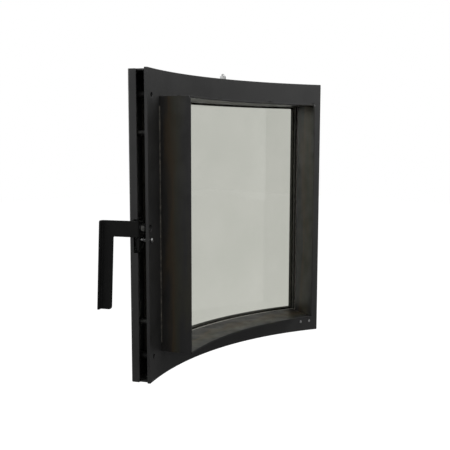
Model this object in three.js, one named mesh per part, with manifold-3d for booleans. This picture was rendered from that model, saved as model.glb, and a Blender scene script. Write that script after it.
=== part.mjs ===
// A curved firebox door of a wood stove: an inner plate with a window tunnel, an outer shell,
// a bent ceramic pane between them, two hinge blocks and a short-throw latch handle.
//
// Millimetres, +Z up. The outside of the door faces -Y, the fire is on the +Y side,
// the latch is on the +X side and the hinge on the -X side.
// The origin is on the hinge axis, level with the foot of the door.
//
// Places on the curved door are given in three directions: "out" is the distance from the fire face
// of the inner plate, away from the fire, "along" runs round the arc towards the latch, and "up" is Z.

import * as THREE from "three";
import { mergeVertices } from "three/addons/utils/BufferGeometryUtils.js";
import Module from "manifold-3d";

const wasm = await Module();
wasm.setup();

const degree = Math.PI / 180;

// Fits shared by all pieces
const clearance = 0.3; // between two pieces that touch
const overrun = 5; // how far a cut runs past what it cuts
const arcFacet = 1.5 * degree; // one flat of the curved sheets
const pinSides = 20;
const hexSides = 6;
const bendSteps = 4;

// Inner plate
const plateHeight = 500;
const plateRadius = 514; // of the fire face
const plateHalfAngle = 26.57 * degree;
const plateThickness = 5;

// Window tunnel, which stands from the plate towards the fire
const windowSideBorder = 49.07; // from the plate's side edges, along the arc
const windowEndBorder = 44.7; // from the plate's top and foot
const wallThickness = 3;
const wallDepth = 54; // from the fire face of the plate towards the fire
const wallCornerRadius = 5; // of the side walls, at the mouth

// Outer shell
const skinThickness = 3;
const skinBendRadius = 4; // outer radius where the skin turns into its side returns
const sideReturn = 14.2; // depth of the side returns
const shellTopInset = 2; // below the top edge of the plate
const shellFootInset = 1; // above the foot of the plate
const capGap = 1; // between the plate and the shell's top and bottom sheets
const skinWindowSmaller = 2.8; // at the top and foot, than the tunnel

// Pane and its seals
const glassThickness = 4;
const glassLap = 9; // how far the pane reaches past the tunnel, on every side
const rearSealThickness = 2.4;
const frontSealThickness = 6.1;
const sealWidth = 8;
const sealStripDepth = 6.7; // of the strips beside the tunnel, from the pane back to the fire
const restWidth = 20;
const restHeight = 6;
const restAngle = 12 * degree;

// Corner fixings
const cornerSideInset = 17.4;
const cornerEndInset = 41;
const cornerHeadRadius = 3.5;
const cornerHeadHeight = 1.8;
const cornerHeadSink = 1.8;
const cornerScrewRadius = 2;
const cornerScrewLength = 14;
const cornerSocketRadius = 1.4;
const standoffRadius = 6;

// Spacers in the open gap at both edges
const spacerRadius = 4.75;
const spacerSideInset = 8.7;
const spacerEndInset = 100; // from the plate's top and foot

// Hinge blocks
const hingeSideInset = 28.06; // from the plate's side edge, along the arc
const hingeBlockWidth = 34;
const hingeBlockHeight = 28;
const hingeBlockFromSkin = 4.7;
const hingePinRadius = 4;
const bushWall = 2;
const bushLength = 20;
const hingeScrewSpacing = 19.8;
const hingeScrewUp = 19; // above the foot of the door
const hingeScrewRadius = 2.4;
const hingeScrewTip = 0.8; // how far its end stands out of the plate
const hingeHeadRadius = 4.2;
const hingeHeadHeight = 4;

// Stud and cap nut on top of the shell
const topStudAngle = -2 * degree;
const topStudRadius = 3;
const topWasherRadius = 6.2;
const topWasherThickness = 1.6;
const capNutFlats = 10;
const capNutHexHeight = 6.8;
const capNutDomeRadius = 4.2;
const studHeadRadius = 6;
const studHeadHeight = 2.6;

// Latch pivot, in the frame of the latch edge of the plate
const pivotAlong = -8;
const pivotUp = 1;
const pivotRadius = 4;
const pivotWeldEnd = 1.2; // how far the stud passes through the bracket it is welded in
const pivotNutFlats = 13;
const pivotNutHeight = 6.5;
const pivotWasherRadius = 8;
const pivotWasherThickness = 1.9;
const pivotTip = 1; // thread past the nut
const accessRadius = 5.5; // hole in the plate behind the nut
const bushSleeveWall = 1;
const bushFlangeRadius = 6.5;
const bushFlangeThickness = 1;

// Stop screw, through the plate, the slot in the handle's tab and the bracket
const stopAlong = -10.7;
const stopUp = -18.4;
const stopRadius = 2.5;
const stopHeadRadius = 4;
const stopHeadHeight = 2.4;
const stopSocketRadius = 1.7;

// Latch bracket
const bracketThickness = 3;
const bracketTop = 20;
const bracketFoot = -32;
const bracketInner = -26;
const bracketFromReturn = 0.6;
const bracketFlange = 4.7; // how far its flanges stand out from its plate
const bracketFromSkin = 5.7; // between its plate and the inside of the skin

// Handle, one plate with a tab, an arm, a grip and a flange
const handleThickness = 3;
const handleThrow = 7 * degree;
const armHalfHeight = 12.85;
const armGap = 2; // between the shell's side and the arm
const armBendRadius = 7; // outer radius where the tab turns into the arm
const latchRoom = 11.4; // between the plate and the tab, for the washer and the nut
const tabInner = -20;
const tabOuter = 1;
const tabFoot = -36;
const tabCorner = 3;
const gripReach = 46.4; // front face of the grip, out from the shell, at the arm's middle
const gripWidth = 21.2;
const gripFoot = -131;
const gripLean = 2.4 * degree;
const gripCorner = 5;
const gripInnerCorner = 2;
const flangeWidth = 8;

// Notch in the shell's side return, where the tab passes
const notchTop = 15;
const notchFoot = -38.6;
const notchDepth = 7;

// Worked out from the sizes above
const cavityBack = plateThickness + clearance;
const windowHalfAngle = plateHalfAngle - windowSideBorder / plateRadius;
const windowHalfHeight = plateHeight / 2 - windowEndBorder;
const tunnelOuterHalfHeight = windowHalfHeight + wallThickness;
const cornerAngle = plateHalfAngle - cornerSideInset / plateRadius;
const cornerUp = plateHeight / 2 - cornerEndInset;
const spacerAngle = plateHalfAngle - spacerSideInset / plateRadius;
const spacerHeight = plateHeight / 2 - spacerEndInset;

// From the plate outwards: nut and washer, the handle's tab, its bush, the bracket and the skin
const tabOut = plateThickness + latchRoom;
const tabFront = tabOut + handleThickness;
const washerBack = tabOut - clearance - pivotWasherThickness;
const nutBack = washerBack - clearance - pivotNutHeight;
const bushSleeveRadius = pivotRadius + clearance + bushSleeveWall;
const bushFlangeBack = tabFront + clearance;
const bushFlangeFront = bushFlangeBack + bushFlangeThickness;
const bracketBack = bushFlangeFront + clearance;
const bracketFront = bracketBack + bracketThickness;
const skinInside = bracketFront + bracketFromSkin;
const shellDepth = skinInside + skinThickness;
const shellTop = plateHeight / 2 - shellTopInset;
const shellFoot = -plateHeight / 2 + shellFootInset;
const skinWindowHalfHeight = windowHalfHeight - skinWindowSmaller;
const cavityFront = skinInside - clearance;

// From the skin inwards: front seal, pane, rear seal and the ends of the tunnel's strips
const glassFront = cavityFront - frontSealThickness - clearance;
const glassBack = glassFront - glassThickness;
const glassHalfHeight = windowHalfHeight + glassLap;
const sealSeat = glassBack - clearance - rearSealThickness - clearance;

const blockFront = skinInside - hingeBlockFromSkin;
const hingeOut = (cavityBack + blockFront) / 2;
const hingeAngle = hingeSideInset / plateRadius - plateHalfAngle;
const hingeAxis = placeAt(hingeAngle, hingeOut, -plateHeight / 2);
const bushRadius = hingePinRadius + bushWall;
const topStudOut = (plateThickness + capGap + cavityFront) / 2;
const gripFront = shellDepth + gripReach;
const armInside = armGap;
const armOutside = armInside + handleThickness;
const armStart = tabOut + armBendRadius;

// The point of the door at an angle round its axis, in the frame of the middle of the fire face.
function placeAt(angle, out, up) {
  const radius = plateRadius + out;
  return new THREE.Vector3(
    radius * Math.sin(angle),
    plateRadius - radius * Math.cos(angle),
    up,
  );
}

// A closed three.js geometry as a solid that can be cut and joined.
function solidOf(geometry) {
  const bare = geometry.clone();
  bare.deleteAttribute("normal");
  bare.deleteAttribute("uv");
  const merged = mergeVertices(bare);
  return new wasm.Manifold(
    new wasm.Mesh({
      numProp: 3,
      vertProperties: merged.attributes.position.array,
      triVerts: new Uint32Array(merged.index.array),
    }),
  );
}

// An outline is a list of [x, y] points, with its round stretches put in by arcOf.
function extruded(outline, from, to) {
  const shape = new THREE.Shape(outline.map(([x, y]) => new THREE.Vector2(x, y)));
  return new THREE.ExtrudeGeometry(shape, {
    depth: to - from,
    bevelEnabled: false,
  }).translate(0, 0, from);
}

function arcOf(x, y, radius, startAngle, endAngle, steps = bendSteps) {
  const points = [];
  for (let i = 0; i <= steps; i++) {
    const a = startAngle + ((endAngle - startAngle) * i) / steps;
    points.push([x + radius * Math.cos(a), y + radius * Math.sin(a)]);
  }
  return points;
}

function rectangle(x0, x1, y0, y1) {
  return [
    [x0, y0],
    [x1, y0],
    [x1, y1],
    [x0, y1],
  ];
}

// The directions at an angle round the door.
function directionsAt(angle) {
  return {
    along: new THREE.Vector3(Math.cos(angle), Math.sin(angle), 0),
    out: new THREE.Vector3(Math.sin(angle), -Math.cos(angle), 0),
    up: new THREE.Vector3(0, 0, 1),
  };
}

// Pieces are made flat first, with X out, Y along and Z up, and then put in place round the door.
const flatAxes = {
  out: new THREE.Vector3(1, 0, 0),
  along: new THREE.Vector3(0, 1, 0),
  up: new THREE.Vector3(0, 0, 1),
};

function flat(geometry, first, second, third) {
  const turn = new THREE.Matrix4().makeBasis(
    flatAxes[first],
    flatAxes[second],
    flatAxes[third],
  );
  return solidOf(geometry.applyMatrix4(turn));
}

function at(angle, solid) {
  const d = directionsAt(angle);
  const matrix = new THREE.Matrix4()
    .makeBasis(d.out, d.along, d.up)
    .setPosition(placeAt(angle, 0, 0));
  return solid.transform(matrix.elements);
}

// Outline in (along, up), thickness out from one face to the other.
const sheetOut = (outline, from, to) =>
  flat(extruded(outline, from, to), "along", "up", "out");

// Outline in (out, along), height from foot to top.
const sheetUp = (outline, from, to) =>
  flat(extruded(outline, from, to), "out", "along", "up");

// Outline in (up, out), width along the arc.
const sheetAlong = (outline, from, to) =>
  flat(extruded(outline, from, to), "up", "out", "along");

// A round pin that points out, from one end to the other.
function pinOut(along, up, radius, from, to, sides = pinSides) {
  return flat(
    new THREE.CylinderGeometry(radius, radius, to - from, sides)
      .rotateX(Math.PI / 2)
      .translate(along, up, (from + to) / 2),
    "along",
    "up",
    "out",
  );
}

// The radius of a hexagon's corners, from the size across its flats.
const hexRadius = (flats) => flats / 2 / Math.cos(Math.PI / hexSides);

// A round pin that stands up, at a place of the door.
function pinUp(angle, out, radius, from, to, sides = pinSides) {
  const middle = placeAt(angle, out, (from + to) / 2);
  return solidOf(
    new THREE.CylinderGeometry(radius, radius, to - from, sides)
      .rotateX(Math.PI / 2)
      .translate(middle.x, middle.y, middle.z),
  );
}

// A ring round the door's axis, from a closed profile of [out, up] points.
function ring(profile) {
  const points = profile.map(([out, up]) => new THREE.Vector2(plateRadius + out, up));
  if (THREE.ShapeUtils.isClockWise(points)) points.reverse();
  points.push(points[0].clone());
  return solidOf(
    new THREE.LatheGeometry(points, Math.round((2 * Math.PI) / arcFacet))
      .rotateX(Math.PI / 2)
      .translate(0, plateRadius, 0),
  );
}

// The part of space between two planes through the door's axis, moved apart by an offset.
function wedge(halfAngle, offset, foot, top) {
  const inner = -plateRadius / 2;
  const outer = plateRadius / 2;
  const d = directionsAt(halfAngle);
  const corner = (out) =>
    placeAt(halfAngle, out, 0).addScaledVector(d.along, offset);
  const near = corner(inner);
  const far = corner(outer);
  return solidOf(
    extruded(
      [
        [near.x, near.y],
        [-near.x, near.y],
        [-far.x, far.y],
        [far.x, far.y],
      ],
      foot,
      top,
    ),
  );
}

function band(back, front, foot, top, halfAngle, offset) {
  return ring(rectangle(back, front, foot, top)).intersect(
    wedge(halfAngle, offset, foot - overrun, top + overrun),
  );
}

const otherSide = (solid) => solid.mirror([1, 0, 0]);
const otherEnd = (solid) => solid.mirror([0, 0, 1]);

// Colours and finishes
const finish = (color, roughness, metalness) =>
  new THREE.MeshStandardMaterial({ color, roughness, metalness, flatShading: true });
const blackPaint = finish(0x1f1f1f, 0.6, 0.2);
const sootedPaint = finish(0x24221f, 0.75, 0.1);
const zinc = finish(0xb4b6b8, 0.35, 0.9);
const blackSteel = finish(0x2b2b2c, 0.5, 0.7);
const paleFibre = finish(0xc9c4b6, 0.95, 0);
const greyFibre = finish(0x3a3830, 0.95, 0);
const ceramicGlass = new THREE.MeshStandardMaterial({
  color: 0xc9cbc6,
  roughness: 0.08,
  metalness: 0,
  transparent: true,
  opacity: 0.35,
});
const bronze = finish(0x8d6b3c, 0.5, 0.8);

const door = new THREE.Group();
door.position.copy(hingeAxis).negate();

function add(name, material, solid) {
  const made = solid.getMesh();
  const geometry = new THREE.BufferGeometry();
  geometry.setAttribute(
    "position",
    new THREE.BufferAttribute(new Float32Array(made.vertProperties), made.numProp),
  );
  geometry.setIndex(new THREE.BufferAttribute(new Uint32Array(made.triVerts), 1));
  const mesh = new THREE.Mesh(geometry, material);
  mesh.name = name;
  door.add(mesh);
}

// Inner plate: the curved sheet with its window and every hole in it.
function innerPlate() {
  const hole = (angle, along, up, radius, to = plateThickness + overrun) =>
    at(angle, pinOut(along, up, radius, -overrun, to));
  const windowEdge = tunnelOuterHalfHeight + clearance;
  const cuts = [
    wedge(windowHalfAngle, wallThickness + clearance, -windowEdge, windowEdge),
    hole(plateHalfAngle, pivotAlong, pivotUp, accessRadius),
    hole(plateHalfAngle, stopAlong, stopUp, stopRadius + clearance),
  ];
  for (const along of [-hingeScrewSpacing / 2, hingeScrewSpacing / 2])
    cuts.push(
      hole(
        hingeAngle,
        along,
        hingeScrewUp - plateHeight / 2,
        hingeScrewRadius + clearance,
      ),
    );
  for (const angle of [-cornerAngle, cornerAngle])
    for (const up of [-cornerUp, cornerUp])
      cuts.push(
        hole(angle, 0, up, cornerScrewRadius + clearance),
        hole(
          angle,
          0,
          up,
          cornerHeadRadius + clearance,
          cornerHeadSink + cornerHeadHeight + clearance,
        ),
      );
  return cuts.reduce(
    (plate, cut) => plate.subtract(cut),
    band(0, plateThickness, -plateHeight / 2, plateHeight / 2, plateHalfAngle, 0),
  );
}
add("inner_plate", blackPaint, innerPlate());

// Window tunnel: two flat side walls and, between them, a curved floor and a curved ceiling
const wallMouth = -wallDepth + wallCornerRadius;
const wallShoulder = tunnelOuterHalfHeight - wallCornerRadius;
const sideWallOutline = [
  [tunnelOuterHalfHeight, plateThickness],
  [-tunnelOuterHalfHeight, plateThickness],
  ...arcOf(-wallShoulder, wallMouth, wallCornerRadius, Math.PI, (3 * Math.PI) / 2),
  ...arcOf(wallShoulder, wallMouth, wallCornerRadius, (3 * Math.PI) / 2, 2 * Math.PI),
];
const sideWall = at(windowHalfAngle, sheetAlong(sideWallOutline, 0, wallThickness));
add("window_wall_latch", sootedPaint, sideWall);
add("window_wall_hinge", sootedPaint, otherSide(sideWall));

const floorStrip = band(
  -wallDepth,
  sealSeat,
  -tunnelOuterHalfHeight,
  -windowHalfHeight,
  windowHalfAngle,
  -clearance,
);
add("window_floor", sootedPaint, floorStrip);
add("window_ceiling", sootedPaint, otherEnd(floorStrip));

// Strips that close the pane's sides, inside the window of the rear seal
const stripFront = glassBack - clearance;
const stripHalfHeight = windowHalfHeight - clearance;
const sealStrip = at(
  windowHalfAngle,
  sheetUp(
    rectangle(stripFront - sealStripDepth, stripFront, 0, wallThickness),
    -stripHalfHeight,
    stripHalfHeight,
  ),
);
add("seal_strip_latch", greyFibre, sealStrip);
add("seal_strip_hinge", greyFibre, otherSide(sealStrip));

// Pane, held between two flat fibre seals, resting on two blocks and kept down by two more
add(
  "glass_pane",
  ceramicGlass,
  band(glassBack, glassFront, -glassHalfHeight, glassHalfHeight, windowHalfAngle, glassLap),
);

function seal(back, front, innerHalfHeight, innerOffset) {
  const outerHalfHeight = windowHalfHeight + sealWidth;
  return band(
    back,
    front,
    -outerHalfHeight,
    outerHalfHeight,
    windowHalfAngle,
    sealWidth,
  ).subtract(wedge(windowHalfAngle, innerOffset, -innerHalfHeight, innerHalfHeight));
}
add(
  "rear_glass_seal",
  paleFibre,
  seal(
    sealSeat + clearance,
    glassBack - clearance,
    windowHalfHeight,
    wallThickness + clearance,
  ),
);
add(
  "front_glass_seal",
  greyFibre,
  seal(glassFront + clearance, cavityFront, skinWindowHalfHeight, 0),
);

for (const [side, sign] of [
  ["latch", 1],
  ["hinge", -1],
]) {
  const under = -glassHalfHeight - clearance;
  const rest = at(
    sign * restAngle,
    sheetOut(
      rectangle(-restWidth / 2, restWidth / 2, under - restHeight, under),
      glassBack,
      cavityFront,
    ),
  );
  add(`glass_rest_${side}`, blackSteel, rest);
  add(`glass_stop_${side}`, blackSteel, otherEnd(rest));
}

// Outer shell: the curved skin with its side returns, and the sheets that close it at the top and foot
function frontSkin() {
  const bendCentre = shellDepth - skinBendRadius;
  const returnOutline = [
    [shellDepth, -skinBendRadius - clearance],
    ...arcOf(bendCentre, -skinBendRadius, skinBendRadius, 0, Math.PI / 2),
    [shellDepth - sideReturn, 0],
    [shellDepth - sideReturn, -skinThickness],
    ...arcOf(bendCentre, -skinBendRadius, skinBendRadius - skinThickness, Math.PI / 2, 0),
    [skinInside, -skinBendRadius - clearance],
  ];
  const sideSheet = at(plateHalfAngle, sheetUp(returnOutline, shellFoot, shellTop));
  const notchOutline = rectangle(
    shellDepth - sideReturn - overrun,
    shellDepth - sideReturn + notchDepth,
    -skinThickness - overrun,
    overrun,
  );
  const notch = at(plateHalfAngle, sheetUp(notchOutline, notchFoot, notchTop));
  return band(skinInside, shellDepth, shellFoot, shellTop, plateHalfAngle, -skinBendRadius)
    .add(sideSheet)
    .add(otherSide(sideSheet))
    .subtract(notch)
    .subtract(wedge(windowHalfAngle, 0, -skinWindowHalfHeight, skinWindowHalfHeight));
}
add("front_skin", blackPaint, frontSkin());

const hingeBlockOutline = (margin) =>
  rectangle(
    cavityBack - margin,
    blockFront + margin,
    -hingeBlockWidth / 2 - margin,
    hingeBlockWidth / 2 + margin,
  );

function endSheet(foot, top) {
  return band(
    plateThickness + capGap,
    cavityFront,
    foot,
    top,
    plateHalfAngle,
    -skinThickness - clearance,
  ).subtract(
    at(
      hingeAngle,
      sheetUp(hingeBlockOutline(clearance), foot - overrun, top + overrun),
    ),
  );
}
add(
  "shell_top",
  blackPaint,
  endSheet(shellTop - skinThickness, shellTop).subtract(
    pinUp(
      topStudAngle,
      topStudOut,
      topStudRadius + clearance,
      shellTop - skinThickness - overrun,
      shellTop + overrun,
    ),
  ),
);
add("shell_bottom", blackPaint, endSheet(shellFoot, shellFoot + skinThickness));

// Corner fixings: a threaded standoff inside the shell and a socket screw sunk in the plate
for (const [side, angle] of [
  ["latch", cornerAngle],
  ["hinge", -cornerAngle],
])
  for (const [end, up] of [
    ["top", cornerUp],
    ["bottom", -cornerUp],
  ]) {
    const headEnd = cornerHeadSink + cornerHeadHeight;
    const screwEnd = headEnd + cornerScrewLength;
    const bore = pinOut(0, up, cornerScrewRadius + clearance, 0, screwEnd + clearance);
    const socket = pinOut(
      0,
      up,
      cornerSocketRadius,
      -overrun,
      cornerHeadSink + cornerHeadHeight / 2,
      hexSides,
    );
    add(
      `corner_standoff_${side}_${end}`,
      blackSteel,
      at(angle, pinOut(0, up, standoffRadius, cavityBack, cavityFront).subtract(bore)),
    );
    add(
      `corner_screw_${side}_${end}`,
      blackSteel,
      at(
        angle,
        pinOut(0, up, cornerHeadRadius, cornerHeadSink, headEnd)
          .add(pinOut(0, up, cornerScrewRadius, cornerHeadSink, screwEnd))
          .subtract(socket),
      ),
    );
    add(
      `gap_spacer_${side}_${end}`,
      zinc,
      at(
        Math.sign(angle) * spacerAngle,
        pinOut(0, Math.sign(up) * spacerHeight, spacerRadius, cavityBack, cavityFront),
      ),
    );
  }

// Hinge blocks, each with a bush for the stove's hinge pin
const hingeFoot = -plateHeight / 2;
function hingeBlock(withScrews) {
  const block = at(
    hingeAngle,
    sheetUp(hingeBlockOutline(0), hingeFoot, hingeFoot + hingeBlockHeight),
  ).subtract(
    pinUp(
      hingeAngle,
      hingeOut,
      bushRadius + clearance,
      hingeFoot - overrun,
      hingeFoot + bushLength + clearance,
    ),
  );
  if (!withScrews) return block;
  return hingeScrewCuts().reduce((solid, cut) => solid.subtract(cut), block);
}

const hingeHeadBack = blockFront - hingeHeadHeight;
const hingeScrewAt = (along, radius, from, to) =>
  at(hingeAngle, pinOut(along, hingeFoot + hingeScrewUp, radius, from, to));

function hingeScrewCuts() {
  const cuts = [];
  for (const along of [-hingeScrewSpacing / 2, hingeScrewSpacing / 2])
    cuts.push(
      hingeScrewAt(along, hingeScrewRadius + clearance, 0, blockFront + overrun),
      hingeScrewAt(
        along,
        hingeHeadRadius + clearance,
        hingeHeadBack - clearance,
        blockFront + overrun,
      ),
    );
  return cuts;
}
add("hinge_block_lower", blackSteel, hingeBlock(true));
add("hinge_block_upper", blackSteel, otherEnd(hingeBlock(false)));

const hingeBush = pinUp(
  hingeAngle,
  hingeOut,
  bushRadius,
  hingeFoot,
  hingeFoot + bushLength,
).subtract(
  pinUp(
    hingeAngle,
    hingeOut,
    hingePinRadius,
    hingeFoot - overrun,
    hingeFoot + bushLength + overrun,
  ),
);
add("hinge_bush_lower", bronze, hingeBush);
add("hinge_bush_upper", bronze, otherEnd(hingeBush));

for (const [place, along] of [
  ["outer", -hingeScrewSpacing / 2],
  ["inner", hingeScrewSpacing / 2],
])
  add(
    `hinge_screw_${place}`,
    zinc,
    hingeScrewAt(along, hingeScrewRadius, -hingeScrewTip, blockFront).add(
      hingeScrewAt(along, hingeHeadRadius, hingeHeadBack, blockFront),
    ),
  );

// Stud with a washer and a cap nut, on top of the shell
const washerFoot = shellTop + clearance;
const capNutFoot = washerFoot + topWasherThickness + clearance;
const studTop = capNutFoot + capNutHexHeight;
const studHeadTop = shellTop - skinThickness - clearance;
const onTop = (radius, from, to, sides) =>
  pinUp(topStudAngle, topStudOut, radius, from, to, sides);
add(
  "top_stud",
  zinc,
  onTop(topStudRadius, studHeadTop - studHeadHeight, studTop).add(
    onTop(studHeadRadius, studHeadTop - studHeadHeight, studHeadTop),
  ),
);
add(
  "top_washer",
  zinc,
  onTop(topWasherRadius, washerFoot, washerFoot + topWasherThickness).subtract(
    onTop(
      topStudRadius + clearance,
      washerFoot - overrun,
      washerFoot + topWasherThickness + overrun,
    ),
  ),
);

function capNut() {
  const domeFoot = placeAt(topStudAngle, topStudOut, capNutFoot + capNutHexHeight);
  const domeProfile = [
    [0, -capNutHexHeight / 2],
    [capNutDomeRadius, -capNutHexHeight / 2],
    ...arcOf(0, 0, capNutDomeRadius, 0, Math.PI / 2),
  ].map(([x, y]) => new THREE.Vector2(x, y));
  domeProfile[domeProfile.length - 1].x = 0;
  const dome = solidOf(
    new THREE.LatheGeometry(domeProfile, pinSides)
      .rotateX(Math.PI / 2)
      .translate(domeFoot.x, domeFoot.y, domeFoot.z),
  );
  return onTop(
    hexRadius(capNutFlats),
    capNutFoot,
    capNutFoot + capNutHexHeight,
    hexSides,
  )
    .add(dome)
    .subtract(
      onTop(topStudRadius + clearance, capNutFoot - overrun, studTop + clearance),
    );
}
add("top_cap_nut", zinc, capNut());

// Latch: a bracket inside the shell carries the pivot stud, and the stop screw ends in it
const onLatch = (solid) => at(plateHalfAngle, solid);
const atPivot = (radius, from, to, sides) =>
  pinOut(pivotAlong, pivotUp, radius, from, to, sides);
const atStop = (radius, from, to, sides) =>
  pinOut(stopAlong, stopUp, radius, from, to, sides);

function latchBracket() {
  const flangeEnd = bracketFront + bracketFlange;
  const outline = [
    [bracketFoot, bracketBack],
    [bracketTop, bracketBack],
    [bracketTop, flangeEnd],
    [bracketTop - bracketThickness, flangeEnd],
    [bracketTop - bracketThickness, bracketFront],
    [bracketFoot + bracketThickness, bracketFront],
    [bracketFoot + bracketThickness, flangeEnd],
    [bracketFoot, flangeEnd],
  ];
  return sheetAlong(outline, bracketInner, -skinThickness - bracketFromReturn)
    .subtract(atPivot(pivotRadius + clearance, bracketBack - overrun, shellDepth))
    .subtract(atStop(stopRadius + clearance, bracketBack - overrun, shellDepth));
}
add("latch_bracket", blackSteel, onLatch(latchBracket()));

add(
  "pivot_stud",
  zinc,
  onLatch(atPivot(pivotRadius, nutBack - pivotTip, bracketFront + pivotWeldEnd)),
);
const pivotHole = atPivot(pivotRadius + clearance, 0, shellDepth);
add(
  "pivot_washer",
  blackSteel,
  onLatch(
    atPivot(pivotWasherRadius, washerBack, washerBack + pivotWasherThickness).subtract(
      pivotHole,
    ),
  ),
);
add(
  "pivot_nut",
  zinc,
  onLatch(
    atPivot(
      hexRadius(pivotNutFlats),
      nutBack,
      nutBack + pivotNutHeight,
      hexSides,
    ).subtract(pivotHole),
  ),
);
const stopHeadFront = -2 * clearance; // the head lies on the hollow side of the curved plate
const stopHeadBack = stopHeadFront - stopHeadHeight;
add(
  "stop_screw",
  zinc,
  onLatch(
    atStop(stopRadius, stopHeadFront - clearance, bracketFront)
      .add(atStop(stopHeadRadius, stopHeadBack, stopHeadFront))
      .subtract(
        atStop(
          stopSocketRadius,
          -shellDepth,
          stopHeadFront - stopHeadHeight / 2,
          hexSides,
        ),
      ),
  ),
);

// Handle: the tab lies across the gap and turns on the pivot, the arm runs out beside the shell
function handleTab() {
  const bendEnd = armOutside - armBendRadius;
  const stopRight = stopAlong - pivotAlong;
  const stopDown = stopUp - pivotUp;
  const slotRadius = Math.hypot(stopRight, stopDown);
  const slotStart = Math.atan2(stopDown, stopRight);
  const slotEnd = slotStart - handleThrow;
  const slotHalfWidth = stopRadius + clearance;
  const slotCap = (angle, from, to) =>
    arcOf(
      pivotAlong + slotRadius * Math.cos(angle),
      pivotUp + slotRadius * Math.sin(angle),
      slotHalfWidth,
      from,
      to,
      2 * bendSteps,
    );
  const slot = [
    ...slotCap(slotStart, slotStart, slotStart + Math.PI),
    ...slotCap(slotEnd, slotEnd + Math.PI, slotEnd + 2 * Math.PI),
  ];
  const outline = [
    [tabInner, armHalfHeight - tabCorner],
    ...arcOf(
      tabInner + tabCorner,
      armHalfHeight - tabCorner,
      tabCorner,
      Math.PI,
      Math.PI / 2,
    ),
    [bendEnd, armHalfHeight],
    [bendEnd, -armHalfHeight],
    [tabOuter, -armHalfHeight - tabCorner],
    ...arcOf(tabOuter - tabCorner, tabFoot + tabCorner, tabCorner, 0, -Math.PI / 2),
    ...arcOf(
      tabInner + tabCorner,
      tabFoot + tabCorner,
      tabCorner,
      -Math.PI / 2,
      -Math.PI,
    ),
  ];
  return sheetOut(outline, tabOut, tabFront)
    .subtract(sheetOut(slot, tabOut - overrun, tabFront + overrun))
    .subtract(
      atPivot(bushSleeveRadius + clearance, tabOut - overrun, tabFront + overrun),
    );
}

function handleBend() {
  const centreAlong = armOutside - armBendRadius;
  const innerBend = armBendRadius - handleThickness;
  return sheetUp(
    [
      [tabFront, centreAlong - clearance],
      [tabOut, centreAlong - clearance],
      ...arcOf(armStart, centreAlong, armBendRadius, Math.PI, Math.PI / 2, 2 * bendSteps),
      [armStart + clearance, armOutside],
      [armStart + clearance, armInside],
      ...arcOf(armStart, centreAlong, innerBend, Math.PI / 2, Math.PI, 2 * bendSteps),
    ],
    -armHalfHeight,
    armHalfHeight,
  );
}

// The front edge of the grip leans out as it goes down.
const frontAt = (up) => gripFront - up * Math.tan(gripLean);

function handleArmAndGrip() {
  const webFrontAt = (up) => frontAt(up) - handleThickness / 2;
  const innerAt = (up) => frontAt(up) - gripWidth;
  const armFoot = -armHalfHeight;
  const outline = [
    [armHalfHeight, armStart],
    [armHalfHeight, webFrontAt(armHalfHeight)],
    [gripFoot, webFrontAt(gripFoot)],
    ...arcOf(
      gripFoot + gripCorner,
      innerAt(gripFoot + gripCorner) + gripCorner,
      gripCorner,
      Math.PI,
      (3 * Math.PI) / 2,
    ),
    ...arcOf(
      armFoot - gripInnerCorner,
      innerAt(armFoot) - gripInnerCorner,
      gripInnerCorner,
      Math.PI / 2,
      0,
    ),
    [armFoot, armStart],
  ];
  return sheetAlong(outline, armInside, armOutside);
}

function handleFlange() {
  const bentEdge = handleThickness / 2;
  return sheetAlong(
    [
      [gripFoot, frontAt(gripFoot)],
      [gripFoot, frontAt(gripFoot) - handleThickness],
      [armHalfHeight, frontAt(armHalfHeight) - handleThickness],
      [armHalfHeight, frontAt(armHalfHeight) - bentEdge],
      [armHalfHeight - bentEdge, frontAt(armHalfHeight - bentEdge)],
    ],
    armInside,
    armOutside + flangeWidth,
  );
}
add(
  "handle",
  blackPaint,
  onLatch(
    handleTab().add(handleBend()).add(handleArmAndGrip()).add(handleFlange()),
  ),
);

add(
  "handle_bush",
  bronze,
  onLatch(
    atPivot(bushSleeveRadius, tabOut, bushFlangeFront)
      .add(atPivot(bushFlangeRadius, bushFlangeBack, bushFlangeFront))
      .subtract(pivotHole),
  ),
);

export default door;
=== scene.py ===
# %% [markdown]
# # The door of a round wood stove
#
# This lesson dresses a curved firebox door, seen from the side that faces the fire. It is made of sheet
# steel: a thick inner plate with a deep window tunnel welded to it, a thinner outer shell, a bent pane
# between the two, and a latch handle cut and bent from one strip.
#
# Its axes are the door's own: +Z runs up along the hinge pins, the fire is on the +Y side, and the
# latch is on the +X side.

# %% Load the frame
import math

import bmesh
import bpy
from mathutils import Matrix, Vector


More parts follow.
